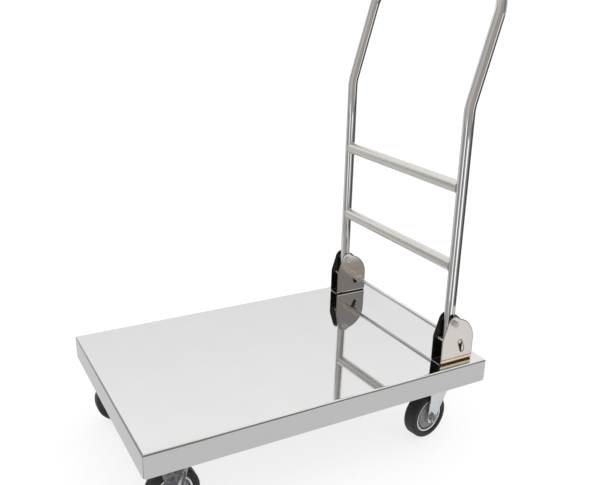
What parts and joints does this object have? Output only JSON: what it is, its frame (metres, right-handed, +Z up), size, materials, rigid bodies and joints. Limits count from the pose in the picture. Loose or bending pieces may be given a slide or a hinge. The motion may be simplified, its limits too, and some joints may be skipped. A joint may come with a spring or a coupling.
{
  "type": "folding platform luggage cart",
  "caption": "Low platform cart with a polished pressed steel deck, small fork casters and a folding U-shaped push handle held by a foot-pressed lock bar.",
  "frame": {"origin": "on the floor, under the middle of the deck", "axes": "+X towards the handle end, +Y to the right of a person pushing, +Z up"},
  "size_m": [0.74, 0.48, 0.9529],
  "materials": {
    "polished_stainless": "mirror polished stainless steel",
    "satin_stainless": "satin",
    "formed_steel": "satin",
    "zinc_plated_steel": "bright zinc plate",
    "spring_steel": "satin",
    "grey_plastic": "matte moulded",
    "black_plastic": "matte moulded",
    "black_rubber": "matte"
  },
  "bodies": {
    "chassis": {"deck_tray": "polished_stainless", "crossmember_front": "formed_steel", "crossmember_rear": "formed_steel", "spine_channel": "formed_steel", "handle_bracket_left": "polished_stainless", "pivot_bolt_left": "zinc_plated_steel", "pivot_nut_left": "zinc_plated_steel", "stop_pin_left": "zinc_plated_steel", "lock_spring_left": "spring_steel", "pivot_bush_left": "zinc_plated_steel", "caster_plate_rear_left": "zinc_plated_steel", "swivel_race_rear_left": "zinc_plated_steel", "kingpin_rear_left": "zinc_plated_steel", "fixed_fork_front_left": "zinc_plated_steel", "axle_bolt_front_left": "zinc_plated_steel", "axle_nut_front_left": "zinc_plated_steel", "axle_sleeve_front_left": "zinc_plated_steel", "handle_bracket_right": "polished_stainless", "pivot_bolt_right": "zinc_plated_steel", "pivot_nut_right": "zinc_plated_steel", "stop_pin_right": "zinc_plated_steel", "lock_spring_right": "spring_steel", "pivot_bush_right": "zinc_plated_steel", "caster_plate_rear_right": "zinc_plated_steel", "swivel_race_rear_right": "zinc_plated_steel", "kingpin_rear_right": "zinc_plated_steel", "fixed_fork_front_right": "zinc_plated_steel", "axle_bolt_front_right": "zinc_plated_steel", "axle_nut_front_right": "zinc_plated_steel", "axle_sleeve_front_right": "zinc_plated_steel"},
    "handle": {"handle_tube": "polished_stainless", "lower_cross_bar": "satin_stainless", "upper_cross_bar": "satin_stainless", "leg_plug_left": "black_plastic", "leg_plug_right": "black_plastic"},
    "lock": {"lock_bar": "polished_stainless", "lock_collar_left": "polished_stainless", "collar_screw_left": "zinc_plated_steel", "lock_collar_right": "polished_stainless", "collar_screw_right": "zinc_plated_steel"},
    "swivel_left": {"swivel_fork_rear_left": "zinc_plated_steel", "axle_bolt_rear_left": "zinc_plated_steel", "axle_nut_rear_left": "zinc_plated_steel", "axle_sleeve_rear_left": "zinc_plated_steel"},
    "rear_wheel_left": {"wheel_core_rear_left": "grey_plastic", "tyre_rear_left": "black_rubber"},
    "front_wheel_left": {"wheel_core_front_left": "grey_plastic", "tyre_front_left": "black_rubber"},
    "swivel_right": {"swivel_fork_rear_right": "zinc_plated_steel", "axle_bolt_rear_right": "zinc_plated_steel", "axle_nut_rear_right": "zinc_plated_steel", "axle_sleeve_rear_right": "zinc_plated_steel"},
    "rear_wheel_right": {"wheel_core_rear_right": "grey_plastic", "tyre_rear_right": "black_rubber"},
    "front_wheel_right": {"wheel_core_front_right": "grey_plastic", "tyre_front_right": "black_rubber"}
  },
  "joints": [
    {"name": "handle_fold", "type": "hinge", "parent": "chassis", "child": "handle", "pos_m": [0.292, 0, 0.274], "axis": [0, -1, 0], "range_deg": [0, 100]},
    {"name": "lock_press", "type": "slide", "parent": "chassis", "child": "lock", "axis": [0.3315, 0, -0.9435], "range_m": [0, 0.0185], "stiffness_N_per_m": 800, "springref_m": -0.012},
    {"name": "caster_swivel_left", "type": "hinge", "parent": "chassis", "child": "swivel_left", "pos_m": [0.295, -0.176, 0.123], "axis": [0, 0, 1], "continuous": true},
    {"name": "caster_swivel_right", "type": "hinge", "parent": "chassis", "child": "swivel_right", "pos_m": [0.295, 0.176, 0.123], "axis": [0, 0, 1], "continuous": true},
    {"name": "rear_wheel_roll_left", "type": "hinge", "parent": "swivel_left", "child": "rear_wheel_left", "pos_m": [0.26743, -0.18086, 0.05], "axis": [-0.1736, 0.9848, 0], "continuous": true},
    {"name": "rear_wheel_roll_right", "type": "hinge", "parent": "swivel_right", "child": "rear_wheel_right", "pos_m": [0.26743, 0.17114, 0.05], "axis": [-0.1736, 0.9848, 0], "continuous": true},
    {"name": "front_wheel_roll_left", "type": "hinge", "parent": "chassis", "child": "front_wheel_left", "pos_m": [-0.301, -0.176, 0.05], "axis": [0, 1, 0], "continuous": true},
    {"name": "front_wheel_roll_right", "type": "hinge", "parent": "chassis", "child": "front_wheel_right", "pos_m": [-0.301, 0.176, 0.05], "axis": [0, 1, 0], "continuous": true}
  ]
}
